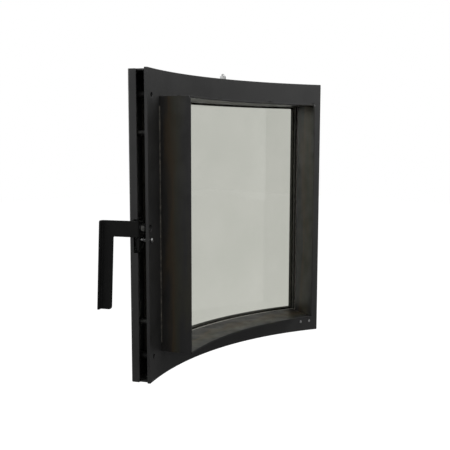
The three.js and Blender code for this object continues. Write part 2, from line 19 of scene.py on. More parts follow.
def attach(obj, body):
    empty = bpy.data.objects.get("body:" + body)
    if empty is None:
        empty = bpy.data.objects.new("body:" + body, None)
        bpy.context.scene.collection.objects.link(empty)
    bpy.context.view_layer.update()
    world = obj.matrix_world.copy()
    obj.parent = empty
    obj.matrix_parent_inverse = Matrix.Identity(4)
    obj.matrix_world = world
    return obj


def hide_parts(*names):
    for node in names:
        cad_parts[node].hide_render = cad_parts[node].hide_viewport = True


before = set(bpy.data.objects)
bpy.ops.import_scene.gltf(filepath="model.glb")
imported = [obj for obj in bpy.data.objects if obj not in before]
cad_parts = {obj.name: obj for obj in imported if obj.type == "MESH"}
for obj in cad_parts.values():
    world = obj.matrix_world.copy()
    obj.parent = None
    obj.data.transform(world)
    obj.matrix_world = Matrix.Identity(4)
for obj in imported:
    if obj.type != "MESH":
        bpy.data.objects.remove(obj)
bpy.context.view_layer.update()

# %% [markdown]
# ## Places on a curved door
#
# Flat thinking makes a curved door easy. Every place is given by four numbers: the angle round the axis
# of the curve, "out" (how far it lies from the fire face of the plate, away from the fire), "up" (from the
# door's middle) and "along" (sideways from that angle, towards the latch). All are in millimetres, and one
# function turns them into metres in the CAD frame.

# %% Sizes of the door
MM = 0.001
plate_radius = 514.0
half_angle = math.radians(26.57)
half_height = 250.0
plate_thickness = 5.0
gap = 0.3  # clearance between neighbouring pieces

shell_depth = 32.7
skin_thickness = 3.0
skin_inside = shell_depth - skin_thickness
top_step, foot_step = 2.0, 1.0
shell_top = half_height - top_step
shell_foot = foot_step - half_height

window_border = 49.07  # plate beside the window, round the arc
window_rim = 44.7  # plate above and below it
window_angle = half_angle - window_border / plate_radius
window_half = half_height - window_rim
wall = 3.0
wall_depth = 54.0

hinge_inset = 28.06
hinge_angle = hinge_inset / plate_radius - half_angle
hinge_out = 15.15


def on_arc(angle, out, along=0.0):
    radius = plate_radius + out
    return (
        radius * math.sin(angle) + along * math.cos(angle),
        plate_radius - radius * math.cos(angle) + along * math.sin(angle),
    )


hinge_x, hinge_y = on_arc(hinge_angle, hinge_out)


def door_point(angle, out, up, along=0.0):
    x, y = on_arc(angle, out, along)
    return Vector((x - hinge_x, y - hinge_y, up + half_height)) * MM


print("Hinge pins at", [round(v, 3) for v in (hinge_x, hinge_y)], "mm from the middle of the plate")

# %% [markdown]
# ## Camera
#
# The photograph was taken from the fire side, a little above the door's middle, with the latch edge
# nearest. The place, the turn and the lens come from matching the plate's rims and corners, so the
# camera needs no shift. The place is measured from the middle of the plate's fire face.

# %% Camera
photo_width = 450
focal_length_in_pixels = 705.4
camera_x, camera_y, camera_up = 956.3, 881.7, 135.2
heading, pitch, roll = 47.51, 6.668, 0.103

camera_data = bpy.data.cameras.new("camera")
camera_data.sensor_fit = "HORIZONTAL"
camera_data.sensor_width = 36
camera_data.lens = camera_data.sensor_width * focal_length_in_pixels / photo_width
camera = bpy.data.objects.new("camera", camera_data)
bpy.context.scene.collection.objects.link(camera)
bpy.context.scene.camera = camera
camera.matrix_world = (
    Matrix.Translation(Vector((camera_x - hinge_x, camera_y - hinge_y, camera_up + half_height)) * MM)
    @ Matrix.Rotation(math.radians(180 - heading), 4, "Z")
    @ Matrix.Rotation(math.radians(90 - pitch), 4, "X")
    @ Matrix.Rotation(math.radians(roll), 4, "Z")
)
print("Camera at", [round(v, 3) for v in camera.matrix_world.translation], "lens", camera_data.lens)

# %% [markdown]
# ## Studio
#
# The door hangs on its pins above a pale floor, in front of plain white. A white background doesn't need
# strong lamps: the world is white only for rays that come straight from the camera or by way of metal
# and glass, and a plain grey for all others. The floor glows for camera rays and for rays through glass,
# and keeps a soft shadow. Towards the hinge side, and most of all low down there, the world is darker for
# every other ray, mirrored ones too, so that paint seen at a flat angle doesn't turn pale; the photograph
# has its darkest paint there.
#
# Shader nodes are made by helpers that take plain values or the outputs of other nodes, so that a chain
# of nodes reads like a formula.

# %% Node helpers
scene = bpy.context.scene
scene.view_settings.view_transform = "Standard"


def feed(socket, value):
    """A plain value is set on the socket, and another node's output is linked to it."""
    if isinstance(value, bpy.types.NodeSocket):
        socket.id_data.links.new(value, socket)
    else:
        socket.default_value = value


def fill(node, **sockets):
    """Feeds sockets by their names, with _ for a space."""
    for name, value in sockets.items():
        feed(node.inputs[name.replace("_", " ")], value)
    return node


def add(tree, kind, **sockets):
    return fill(tree.nodes.new(f"ShaderNode{kind}"), **sockets)


def calculate(tree, operation, first, second):
    node = add(tree, "Math")
    node.operation = operation
    feed(node.inputs[0], first)
    feed(node.inputs[1], second)
    return node.outputs[0]


def map_range(tree, value, start, end, low, high, clamp=True):
    """Runs from low to high while the value goes from start to end."""
    limits = {"From_Min": start, "From_Max": end, "To_Min": low, "To_Max": high}
    node = add(tree, "MapRange", Value=value, **limits)
    node.clamp = clamp
    return node.outputs["Result"]


# %% Straight rays
def seen_directly(tree, shiny_share=1.0):
    """1 for rays from the camera or through clear surfaces, and a share of that for mirrored ones."""
    path = add(tree, "LightPath").outputs
    mirrored = calculate(tree, "MULTIPLY", path["Is Glossy Ray"], shiny_share)
    shiny = calculate(tree, "MAXIMUM", path["Is Camera Ray"], mirrored)
    return calculate(tree, "MAXIMUM", shiny, path["Is Transmission Ray"])


# %% New finish
def shader_of(material):
    return material.node_tree.nodes["Principled BSDF"]


def new_finish(name, colour, roughness, metallic=0.0, **sockets):
    material = bpy.data.materials.new(name)
    material.use_nodes = True
    plain = (*colour, 1)
    fill(shader_of(material), Base_Color=plain, Roughness=roughness, Metallic=metallic, **sockets)
    material.diffuse_color = plain
    return material


# %% World
world = bpy.data.worlds.new("studio")
scene.world = world
world.use_nodes = True
tree = world.node_tree
direction = add(tree, "TexCoord").outputs["Generated"]
parts = add(tree, "SeparateXYZ", Vector=direction).outputs
sideways, upwards = parts["X"], parts["Z"]

grey_level = 0.62
level = map_range(tree, seen_directly(tree), start=0, end=1, low=grey_level, high=1)
side_level = map_range(tree, sideways, start=-1.0, end=-0.3, low=0.55, high=1.0)
low_level = map_range(tree, upwards, start=0.0, end=0.45, low=0.35, high=1.0)
clear_of_hinges = map_range(tree, sideways, start=-0.65, end=-0.3, low=0.0, high=1.0)
corner_level = calculate(tree, "MAXIMUM", low_level, clear_of_hinges)
dimming = calculate(tree, "MULTIPLY", side_level, corner_level)
straight = seen_directly(tree, shiny_share=0.0)
dimmed = map_range(tree, straight, start=0, end=1, low=dimming, high=1)
strength = calculate(tree, "MULTIPLY", level, dimmed)
fill(tree.nodes["Background"], Strength=strength, Color=(1, 1, 1, 1))
print("World: grey level", grey_level)

# %% Floor
floor_drop = 0.45
floor_half = 8
floor_mesh = bpy.data.meshes.new("floor")
floor_corners = ((-1, -1), (1, -1), (1, 1), (-1, 1))
floor_mesh.from_pydata(
    [(x * floor_half, y * floor_half, -floor_drop) for x, y in floor_corners], [], [(0, 1, 2, 3)]
)
floor = bpy.data.objects.new("floor", floor_mesh)
scene.collection.objects.link(floor)

pale = new_finish(
    "pale_floor", (0.16, 0.16, 0.16), 0.9, Specular_IOR_Level=0.0, Emission_Color=(1, 1, 1, 1)
)
tree = pale.node_tree
floor_glow = 0.93
glow = calculate(tree, "MULTIPLY", seen_directly(tree, shiny_share=0.0), floor_glow)
fill(shader_of(pale), Emission_Strength=glow)
floor_mesh.materials.append(pale)
print("Floor", floor_drop, "m below the door's foot")

# %% [markdown]
# ## Lamps
#
# Three large soft boxes do the work. One stands on the hinge side, above the tunnel, so that the tunnel
# shades the border beside it as in the photograph. One hangs high on the fire side, too high to be
# mirrored in the pane, for the hinge-side border. One stands in front of the door and lights its outside
# and, through the pane, the inner side of the hinge-side wall.


# %% Lamps
def soft_box(name, place, target, size, watts):
    data = bpy.data.lights.new(name, "AREA")
    data.shape = "RECTANGLE"
    data.size, data.size_y = size
    data.energy = watts
    lamp = bpy.data.objects.new(name, data)
    lamp.location = place
    lamp.rotation_euler = (Vector(target) - Vector(place)).to_track_quat("-Z", "Y").to_euler()
    scene.collection.objects.link(lamp)
    print("Lamp", name, watts, "W at", place)


soft_box("key", place=(-1.7, 1.1, 2.3), target=(0.2, 0.0, 0.3), size=(1.0, 1.0), watts=16)
soft_box("fill", place=(-0.6, 1.9, 2.0), target=(-0.1, 0.0, 0.3), size=(1.2, 1.2), watts=18)
soft_box("front", place=(0.9, -2.0, 1.2), target=(0.2, 0.0, 0.25), size=(1.6, 1.6), watts=22)

# %% [markdown]
# ## Finishes
#
# Each finish starts from one Principled shader. Values that are the same all over are set on its sockets.
# Three helpers add what varies: `vary_roughness` drives that socket with noise between two values, `tint`
# does it with colours, and `grain` gives a fine bump. Noise is measured in the CAD frame, so a cell size
# in millimetres is a real size on every piece.


# %% Finish helpers
noise_low, noise_high = 0.3, 0.7  # nearly all of a noise texture lies between these


def noise_field(material, cell_mm, detail, stretch=(1, 1, 1)):
    tree = material.node_tree
    place = add(tree, "TexCoord").outputs["Object"]
    scale = [s / (cell_mm * MM) for s in stretch]
    cells = add(tree, "Mapping", Vector=place, Scale=scale).outputs["Vector"]
    return add(tree, "TexNoise", Vector=cells, Scale=1.0, Detail=detail).outputs["Fac"]


def vary_roughness(material, low, high, cell_mm, detail):
    noise = noise_field(material, cell_mm, detail)
    spread = map_range(material.node_tree, noise, noise_low, noise_high, low, high)
    fill(shader_of(material), Roughness=spread)


def colour_ramp(tree, share, colours):
    """Colours that run into each other, each given with its place between 0 and 1."""
    ramp = add(tree, "ValToRGB", Fac=share)
    stops = ramp.color_ramp.elements
    while len(stops) < len(colours):
        stops.new(0.5)
    for stop, (place, colour) in zip(stops, colours):
        stop.position = place
        stop.color = (*colour, 1)
    return ramp.outputs["Color"]


def tint(material, colours, cell_mm, detail):
    clouds = noise_field(material, cell_mm, detail)
    fill(shader_of(material), Base_Color=colour_ramp(material.node_tree, clouds, colours))


def raise_bumps(material, pattern, height_mm, strength):
    bump = add(material.node_tree, "Bump", Height=pattern, Strength=strength, Distance=height_mm * MM)
    fill(shader_of(material), Normal=bump.outputs["Normal"])


def grain(material, cell_mm, height_mm, strength):
    raise_bumps(material, noise_field(material, cell_mm, detail=2.0), height_mm, strength)


# %% [markdown]
# ### Stove paint
#
# High-temperature paint is matt black with a very fine, dry grain and hardly any shine. It is a little
# cloudy, because it is sprayed thin, so both its colour and its roughness drift over some centimetres.

# %% Stove paint
stove_paint = new_finish("stove_paint", (0.012, 0.012, 0.012), 0.5, Specular_IOR_Level=0.6)
tint(stove_paint, [(0.3, (0.010, 0.010, 0.010)), (0.7, (0.016, 0.016, 0.0155))], cell_mm=60, detail=5)
vary_roughness(stove_paint, 0.42, 0.56, cell_mm=35, detail=6)
grain(stove_paint, cell_mm=0.7, height_mm=0.06, strength=0.35)

# The handle has a paint of its own: darker than the stove paint, more even and almost without shine.
handle_paint = new_finish("handle_paint", (0.009, 0.009, 0.009), 0.6, Specular_IOR_Level=0.15)
tint(handle_paint, [(0.3, (0.007, 0.007, 0.007)), (0.7, (0.011, 0.011, 0.0105))], cell_mm=45, detail=5)
vary_roughness(handle_paint, 0.5, 0.68, cell_mm=25, detail=6)
grain(handle_paint, cell_mm=0.7, height_mm=0.05, strength=0.35)
print("Paints:", stove_paint.name, handle_paint.name)

# %% [markdown]
# ### Fired paint
#
# The tunnel has met the fire. The heat tinted its paint brown and olive next to the plate, and the soot is
# neutral at the mouth. So the colour follows the distance from the plate, which is found from the distance
# to the axis of the door's curve, and noise makes it cloudy.


# %% Fired paint
def distance_from_axis(tree):
    """Takes the axis from the place, drops the height and measures what is left, in metres."""
    axis = (-hinge_x * MM, (plate_radius - hinge_y) * MM, 0)
    vector = add(tree, "TexCoord").outputs["Object"]
    for operation, other in (("SUBTRACT", axis), ("MULTIPLY", (1, 1, 0)), ("LENGTH", (0, 0, 0))):
        node = add(tree, "VectorMath")
        node.operation = operation
        feed(node.inputs[0], vector)
        feed(node.inputs[1], other)
        vector = node.outputs[0]
    return node.outputs["Value"]


fired_paint = new_finish("fired_paint", (0.013, 0.012, 0.011), 0.5, Specular_IOR_Level=0.5)
tree = fired_paint.node_tree
share_at_plate, share_at_mouth = -0.32, 0.36
depth = map_range(
    tree,
    distance_from_axis(tree),
    start=plate_radius * MM,
    end=(plate_radius - wall_depth) * MM,
    low=share_at_plate,
    high=share_at_mouth,
    clamp=False,
)
clouds = noise_field(fired_paint, cell_mm=30, detail=3.0, stretch=(1, 1, 0.15))
soot_colours = [
    (0.26, (0.010, 0.009, 0.008)),
    (0.40, (0.036, 0.0225, 0.008)),
    (0.58, (0.023, 0.0215, 0.011)),
    (0.80, (0.0085, 0.0085, 0.0085)),
]
soot = colour_ramp(tree, calculate(tree, "ADD", depth, clouds), soot_colours)
fill(shader_of(fired_paint), Base_Color=soot)
vary_roughness(fired_paint, 0.40, 0.60, cell_mm=22, detail=6)
grain(fired_paint, cell_mm=0.8, height_mm=0.07, strength=0.4)
print("Fired paint:", fired_paint.name)

# %% [markdown]
# ### Metals
#
# Bare fasteners are zinc plated, slightly cloudy, with a faint satin. Those in the gap get a darker,
# rougher copy of the zinc, and the spacers a darker one still: both are painted shade for the gap.
# Blocks, standoffs, the latch bracket, one washer, the sunk screws and the short welds are blackened steel;
# the short welds' dark colour is painted shade. The bushes are porous bronze. The long welds are rough
# grey scale, lighter than the paint they burnt away, and that lightness is partly a painted highlight.


# %% Metals
def zinc_plate(name, colours, roughnesses, grain_mm):
    """Colours are plain, dark and light; roughnesses are usual, smoothest and roughest."""
    plain, dark, light = colours
    usual, smoothest, roughest = roughnesses
    finish = new_finish(name, plain, usual, 1.0)
    tint(finish, [(0.35, dark), (0.65, light)], cell_mm=4, detail=4)
    vary_roughness(finish, smoothest, roughest, cell_mm=2.5, detail=4)
    grain(finish, cell_mm=0.35, height_mm=grain_mm, strength=0.4)
    return finish


zinc = zinc_plate(
    "zinc_plate",
    colours=((0.42, 0.425, 0.43), (0.36, 0.365, 0.365), (0.48, 0.48, 0.475)),
    roughnesses=(0.32, 0.22, 0.42),
    grain_mm=0.01,
)
# Painted shade: the fasteners in the gap get this darker, rougher copy of the zinc because the gap shades
# them.
gap_shade_zinc = zinc_plate(
    "zinc_plate_painted_gap_shade",
    colours=((0.09, 0.09, 0.087), (0.06, 0.06, 0.057), (0.12, 0.12, 0.113)),
    roughnesses=(0.42, 0.34, 0.52),
    grain_mm=0.015,
)
# Painted shade: the spacers sit deepest in the shaded gap and get the darkest copy of the zinc.
deep_shade_zinc = zinc_plate(
    "zinc_plate_painted_deep_shade",
    colours=((0.03, 0.03, 0.029), (0.018, 0.018, 0.017), (0.042, 0.042, 0.04)),
    roughnesses=(0.5, 0.42, 0.6),
    grain_mm=0.02,
)

black_steel = new_finish("blackened_steel", (0.02, 0.02, 0.021), 0.5, 0.6, Specular_IOR_Level=0.1)
tint(black_steel, [(0.35, (0.012, 0.012, 0.013)), (0.7, (0.027, 0.026, 0.025))], cell_mm=9, detail=5)
vary_roughness(black_steel, 0.35, 0.6, cell_mm=5, detail=4)
grain(black_steel, cell_mm=0.6, height_mm=0.03, strength=0.4)

bronze = new_finish("porous_bronze", (0.33, 0.22, 0.11), 0.48, 1.0)
tint(bronze, [(0.3, (0.22, 0.14, 0.07)), (0.7, (0.42, 0.29, 0.15))], cell_mm=2.2, detail=5)
vary_roughness(bronze, 0.38, 0.62, cell_mm=1.2, detail=3)
grain(bronze, cell_mm=0.5, height_mm=0.04, strength=0.5)

# Real grey weld scale, made lighter than that: the extra lightness is a painted highlight, the bright line
# along each wall's foot.
weld_scale_and_highlight = new_finish("weld_scale_and_highlight", (0.05, 0.047, 0.04), 0.5, 0.5)
tint(weld_scale_and_highlight, [(0.35, (0.03, 0.029, 0.026)), (0.65, (0.10, 0.092, 0.076))], cell_mm=6, detail=4)
vary_roughness(weld_scale_and_highlight, 0.35, 0.6, cell_mm=2, detail=4)
grain(weld_scale_and_highlight, cell_mm=0.5, height_mm=0.04, strength=0.5)
print("Metals:", zinc.name, gap_shade_zinc.name, deep_shade_zinc.name, black_steel.name, weld_scale_and_highlight.name)

# %% [markdown]
# ### Fibre tape and glass
#
# The seals are woven glass-fibre tape. Its weave is two sets of ribs that cross, made from two Wave
# textures multiplied together. The pane is glass ceramic: clear, with a faint warm grey and a little
# haze that makes the gloss uneven. Real refraction lets it mirror the tunnel's wall, as it does in the
# photograph.


# %% Fibre tape and glass
wave_spacing = 0.314  # metres from rib to rib at a scale of 1


def weave(material, rib_mm, height_mm):
    tree = material.node_tree
    place = add(tree, "TexCoord").outputs["Object"]
    scale = wave_spacing / (rib_mm * MM)
    ribs = []
    for direction in ("X", "Z"):
        wave = add(tree, "TexWave", Vector=place, Scale=scale, Distortion=1.2, Detail_Scale=2.0)
        wave.bands_direction = direction
        ribs.append(wave.outputs["Fac"])
    raise_bumps(material, calculate(tree, "MULTIPLY", *ribs), height_mm, strength=0.8)


pale_tape = new_finish("pale_fibre_tape", (0.56, 0.54, 0.48), 0.95, Sheen_Weight=0.3)
tint(pale_tape, [(0.3, (0.44, 0.42, 0.37)), (0.7, (0.64, 0.62, 0.56))], cell_mm=5, detail=5)
weave(pale_tape, rib_mm=1.3, height_mm=0.3)

dark_tape = new_finish("sooted_fibre_tape", (0.030, 0.029, 0.022), 0.95, Sheen_Weight=0.1)
tint(dark_tape, [(0.3, (0.018, 0.017, 0.013)), (0.7, (0.042, 0.040, 0.030))], cell_mm=6, detail=5)
weave(dark_tape, rib_mm=1.3, height_mm=0.3)

pane_glass = new_finish(
    "glass_ceramic", (0.504, 0.511, 0.462), 0.02, Transmission_Weight=1.0, IOR=1.5
)
vary_roughness(pane_glass, 0.0, 0.03, cell_mm=70, detail=4)
tint(pane_glass, [(0.3, (0.484, 0.494, 0.444)), (0.7, (0.524, 0.528, 0.480))], cell_mm=120, detail=3)
print("Soft seals and pane:", pale_tape.name, dark_tape.name, pane_glass.name)

# %% [markdown]
# ## Cut a blank, then bend it
#
# A sheet-metal shop cuts a flat blank and bends it, and the same two steps make every sheet here. The
# blank is a filled 2D curve: its extrude is the sheet's thickness, and a tiny bevel rounds the cut edges,
# holes included. The mesh is sliced along each bend, and then a `fold` function says where each flat
# point goes. A Weighted Normal modifier keeps the large faces flat next to their rounded edges.


# %% Outlines
def rounded_outline(corners, steps=6):
    """Corners are (x, y, radius); each radius becomes a short arc."""
    loop = []
    for i, (x, y, radius) in enumerate(corners):
        here = Vector((x, y))
        if not radius:
            loop.append(here)
            continue
        before = (Vector(corners[i - 1][:2]) - here).normalized()
        after = (Vector(corners[(i + 1) % len(corners)][:2]) - here).normalized()
        half = before.angle(after) / 2
        centre = here + (before + after).normalized() * radius / math.sin(half)
        start = here + before * radius / math.tan(half) - centre
        turn = (math.pi - 2 * half) * (1 if before.cross(start) > 0 else -1)
        for k in range(steps + 1):
            a = turn * k / steps
            loop.append(centre + Matrix.Rotation(a, 2) @ start)
    return loop


def box_outline(x0, x1, y0, y1, radius):
    return rounded_outline([(x0, y0, radius), (x1, y0, radius), (x1, y1, radius), (x0, y1, radius)])


def centred_box(half_x, half_y, radius):
    return box_outline(-half_x, half_x, -half_y, half_y, radius)


def circle(x, y, radius, steps=40):
    return [
        Vector((x + radius * math.cos(a), y + radius * math.sin(a)))
        for a in (2 * math.pi * k / steps for k in range(steps))
    ]


def finished(name, mesh, material, body, *nodes):
    """Puts a mesh in the scene: its material, the body it rides on and the CAD nodes it stands for."""
    mesh.materials.clear()
    mesh.materials.append(material)
    mesh.shade_smooth()
    piece = bpy.data.objects.new(name, mesh)
    scene.collection.objects.link(piece)
    weighted = piece.modifiers.new("flat faces stay flat", "WEIGHTED_NORMAL")
    weighted.keep_sharp = True
    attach(piece, body)
    if nodes:
        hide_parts(*nodes)
    print(f"{name}: {len(mesh.polygons)} faces")


# %% Sheet helper
same_spot = 0.002  # mm; points nearer than this are one
on_the_slice = 0.001  # mm; points nearer than this to a slice lie on it


def bend_sheet(
    name, outline, thickness, fold, material, node, holes=(), edge=0.4, bends=(), body="door"
):
    curve = bpy.data.curves.new(name, "CURVE")
    curve.dimensions = "2D"
    curve.fill_mode = "BOTH"
    curve.extrude = thickness / 2 - edge
    curve.bevel_depth = edge
    curve.bevel_resolution = 2
    curve.offset = -edge
    for loop in (outline, *holes):
        spline = curve.splines.new("POLY")
        spline.points.add(len(loop) - 1)
        for point, (x, y) in zip(spline.points, loop):
            point.co = (x, y, 0, 1)
        spline.use_cyclic_u = True
    flat = bpy.data.objects.new(name, curve)
    scene.collection.objects.link(flat)
    cut = flat.evaluated_get(bpy.context.evaluated_depsgraph_get())
    mesh = bpy.data.meshes.new_from_object(cut)
    bpy.data.objects.remove(flat)
    bm = bmesh.new()
    bm.from_mesh(mesh)
    bmesh.ops.remove_doubles(bm, verts=bm.verts, dist=same_spot)
    for place, normal in bends:
        everything = bm.verts[:] + bm.edges[:] + bm.faces[:]
        bmesh.ops.bisect_plane(
            bm, geom=everything, plane_co=place, plane_no=normal, dist=on_the_slice
        )
    for vert in bm.verts:
        x, y, z = vert.co
        vert.co = fold(x, y, z + thickness / 2)
    bmesh.ops.recalc_face_normals(bm, faces=bm.faces)
    bm.to_mesh(mesh)
    bm.free()
    mesh.name = name
    finished(name, mesh, material, body, node)


def slices(start, end, step):
    """Upright slices, evenly spread from start to end."""
    count = max(1, round(abs(end - start) / step))
    return [((start + (end - start) * k / count, 0, 0), (1, 0, 0)) for k in range(count + 1)]


# %% [markdown]
# ## Inner plate
#
# The plate is 5 mm thick and carries the tunnel. Its blank is a rectangle with the window and all the
# holes: the access hole behind the latch nut, the hole of the stop screw, two for the hinge screws, and
# one near each corner whose screw sits below the surface. Measured round the arc, all of them lie flat.

# %% Inner plate
arc_half = plate_radius * half_angle
corner_inset, corner_drop = 17.4, 41.0
corner_up = half_height - corner_drop
pivot_inset, pivot_up = 8.0, 1.0
stop_inset, stop_up = 10.7, -18.4
hinge_screw_side, hinge_screw_rise = 9.9, 19.0
hinge_screw_up = hinge_screw_rise - half_height
corner_hole_radius = 3.8
access_hole_radius = 5.5
stop_hole_radius = 2.8
hinge_screw_hole_radius = 2.7


def round_the_arc(start_out):
    return lambda x, y, n: door_point(x / plate_radius, start_out + n, y)


plate_holes = [
    centred_box(plate_radius * window_angle + wall + gap, window_half + wall + gap, radius=1),
    circle(arc_half - pivot_inset, pivot_up, access_hole_radius),
    circle(arc_half - stop_inset, stop_up, stop_hole_radius),
]
for side in (-1, 1):
    screw_x = plate_radius * hinge_angle + side * hinge_screw_side
    plate_holes.append(circle(screw_x, hinge_screw_up, hinge_screw_hole_radius))
for side in (-1, 1):
    for end in (-1, 1):
        corner_x = side * (arc_half - corner_inset)
        plate_holes.append(circle(corner_x, end * corner_up, corner_hole_radius))
bend_sheet(
    "inner_plate_sheet",
    centred_box(arc_half, half_height, radius=1.5),
    plate_thickness,
    round_the_arc(0),
    stove_paint,
    "inner_plate",
    holes=plate_holes,
    edge=0.5,
    bends=slices(-arc_half, arc_half, step=7),
)

# %% [markdown]
# ## Window tunnel
#
# Four plain strips of 3 mm sheet make the tunnel: two flat side walls and, between them, a level floor and
# ceiling whose ends follow the door's curve. The walls lie along the radius at their place, so the tunnel
# narrows a little towards the fire. They start at the plate's outer face; the corners of their mouth edge
# are rounded.

# %% Side walls
door_edges = ((1, "latch"), (-1, "hinge"))
door_ends = ((1, "top"), (-1, "bottom"))
wall_half = window_half + wall
wall_length = plate_thickness + wall_depth
mouth_corner, seam_corner = 5.0, 0.5
wall_outline = rounded_outline(
    [
        (0, -wall_half, seam_corner),
        (wall_length, -wall_half, mouth_corner),
        (wall_length, wall_half, mouth_corner),
        (0, wall_half, seam_corner),
    ]
)
for side, edge_name in door_edges:
    bend_sheet(
        f"tunnel_wall_{edge_name}",
        wall_outline,
        wall,
        lambda x, y, n, side=side: door_point(side * window_angle, plate_thickness - x, y, side * n),
        fired_paint,
        f"window_wall_{edge_name}",
    )

# %% [markdown]
# The floor and the ceiling go further out than the walls, up to the pane's seal. Each is a piece of a
# ring, cut flat and welded between the walls. Here a rectangle is laid round the arc, which gives that
# shape and keeps the rounded edges.

# %% Floor and ceiling
seal_seat = 16.0
wall_clearance = 0.28
mouth_radius = plate_radius - wall_depth
floor_length = seal_seat + wall_depth
between_walls = mouth_radius * window_angle - wall_clearance
for end, strip_name in ((-1, "floor"), (1, "ceiling")):
    bend_sheet(
        f"tunnel_{strip_name}",
        box_outline(-between_walls, between_walls, 0, floor_length, radius=seam_corner),
        wall,
        lambda x, y, n, end=end: door_point(x / mouth_radius, seal_seat - y, end * (window_half + n)),
        fired_paint,
        f"window_{strip_name}",
        bends=slices(-between_walls, between_walls, step=6.5),
    )

# %% [markdown]
# ## Pane and seals
#
# The pane is a bent sheet of 4 mm glass ceramic with ground edges. Flat fibre tape lies behind it and in
# front of it. A dark strip of tape closes each side of the pane, beside a groove that the tunnel's wall
# leaves open. The tapes are modelled as soft-edged sheets; their weave is in the finish.

# %% Pane and seals
glass_back = 19.0
glass_thickness = 4.0
glass_front = glass_back + glass_thickness
pane_lap, tape_lap = 9.0, 8.0  # how far they reach past the window
window_lip = 2.8  # how far the shell covers the window above and below
tape_edge = 0.7
glass_arc = plate_radius * (window_angle + pane_lap / (plate_radius + glass_back))
bend_sheet(
    "pane",
    centred_box(glass_arc, window_half + pane_lap, radius=2),
    glass_thickness,
    round_the_arc(glass_back),
    pane_glass,
    "glass_pane",
    edge=1.2,
    bends=slices(-glass_arc, glass_arc, step=5),
)


def tape_frame(name, back, front, opening_half, side_gap, material, node):
    arc = (plate_radius + back) * window_angle
    stretch = plate_radius / (plate_radius + back)
    bend_sheet(
        name,
        centred_box((arc + tape_lap) * stretch, window_half + tape_lap, radius=2),
        front - back,
        round_the_arc(back),
        material,
        node,
        holes=[centred_box((arc + side_gap) * stretch, opening_half, radius=1)],
        edge=tape_edge,
        bends=slices(-arc, arc, step=7),
    )


tape_frame(
    "tape_behind_pane",
    seal_seat + gap,
    glass_back - gap,
    window_half,
    wall + gap,
    pale_tape,
    "rear_glass_seal",
)
tape_frame(
    "tape_before_pane",
    glass_front + gap,
    skin_inside - gap,
    window_half - window_lip,
    0.0,
    dark_tape,
    "front_glass_seal",
)

strip_back = 12.0
strip_half = window_half - gap
for side, edge_name in door_edges:
    bend_sheet(
        f"tape_strip_{edge_name}",
        box_outline(strip_back, glass_back - gap, -strip_half, strip_half, radius=0.8),
        wall,
        lambda x, y, n, side=side: door_point(side * window_angle, x, y, side * n),
        dark_tape,
        f"seal_strip_{edge_name}",
        edge=tape_edge,
    )

# %% [markdown]
# ## Outer shell
#
# The shell's skin is one sheet: a long arc that turns round a 4 mm bend at each edge into a short return.
# In the flat it is a rectangle with the window in it and, at the latch edge, the notch through which the
# handle's tab passes.

# %% Shell skin
skin_radius = plate_radius + shell_depth
bend_radius = 4.0
bend_arc = bend_radius * math.pi / 2
skin_arc = skin_radius * (half_angle - bend_radius / skin_radius)
return_depth = 14.2
return_straight = return_depth - bend_radius
skin_end = skin_arc + bend_arc + return_straight


def skin_fold(x, y, n):
    side = 1 if x > 0 else -1
    distance = abs(x)
    if distance <= skin_arc:
        return door_point(x / skin_radius, skin_inside + n, y)
    radius = bend_radius - skin_thickness + n
    centre_out = shell_depth - bend_radius
    if distance <= skin_arc + bend_arc:
        a = (distance - skin_arc) / bend_radius
        out, along = centre_out + radius * math.cos(a), radius * math.sin(a) - bend_radius
    else:
        out, along = centre_out - (distance - skin_arc - bend_arc), n - skin_thickness
    return door_point(side * half_angle, out, y, side * along)


notch_foot, notch_top, notch_depth = -38.6, 15.0, 7.0
skin_outline = rounded_outline(
    [
        (-skin_end, shell_foot, 1),
        (skin_end, shell_foot, 1),
        (skin_end, notch_foot, 0.8),
        (skin_end - notch_depth, notch_foot, 1.5),
        (skin_end - notch_depth, notch_top, 1.5),
        (skin_end, notch_top, 0.8),
        (skin_end, shell_top, 1),
        (-skin_end, shell_top, 1),
    ]
)
skin_bends = slices(-skin_arc, skin_arc, step=7)
for side in (-1, 1):
    skin_bends += slices(side * skin_arc, side * (skin_arc + bend_arc), step=0.8)
bend_sheet(
    "shell_skin",
    skin_outline,
    skin_thickness,
    skin_fold,
    stove_paint,
    "front_skin",
    holes=[centred_box(skin_radius * window_angle, window_half - window_lip, radius=1.5)],
    bends=skin_bends,
)

# %% [markdown]
# The top and bottom sheets are flat. They are cut to the curve and have a notch for a hinge block, and
# the top one a hole for the stud. Their blank is drawn straight in plan, so folding only moves it into
# place.

# %% Top and bottom sheets
block_width = 34.0
block_back = plate_thickness + gap
block_front = 25.0
block_middle = 15.0
sheet_back = plate_thickness + 1.0
sheet_middle = 17.0
stud_angle = math.radians(-2)
stud_out = 17.7
stud_hole_radius = 3.3


def plan_arc(out, start, end, steps):
    return [on_arc(start + (end - start) * k / steps, out) for k in range(steps + 1)]


def end_sheet(name, foot, node, holes):
    inset = (skin_thickness + gap) / (plate_radius + sheet_middle)
    notch_half = block_width / 2 + gap
    notch_angle = notch_half / (plate_radius + block_middle)
    outline = [
        *plan_arc(sheet_back, hinge_angle + notch_angle, half_angle - inset, steps=60),
        *plan_arc(skin_inside - gap, half_angle - inset, inset - half_angle, steps=70),
        *plan_arc(sheet_back, inset - half_angle, hinge_angle - notch_angle, steps=2),
        on_arc(hinge_angle, block_front + gap, -notch_half),
        on_arc(hinge_angle, block_front + gap, notch_half),
    ]
    bend_sheet(
        name,
        outline,
        skin_thickness,
        lambda x, y, n: Vector((x - hinge_x, y - hinge_y, foot + n + half_height)) * MM,
        stove_paint,
        node,
        holes=holes,
    )


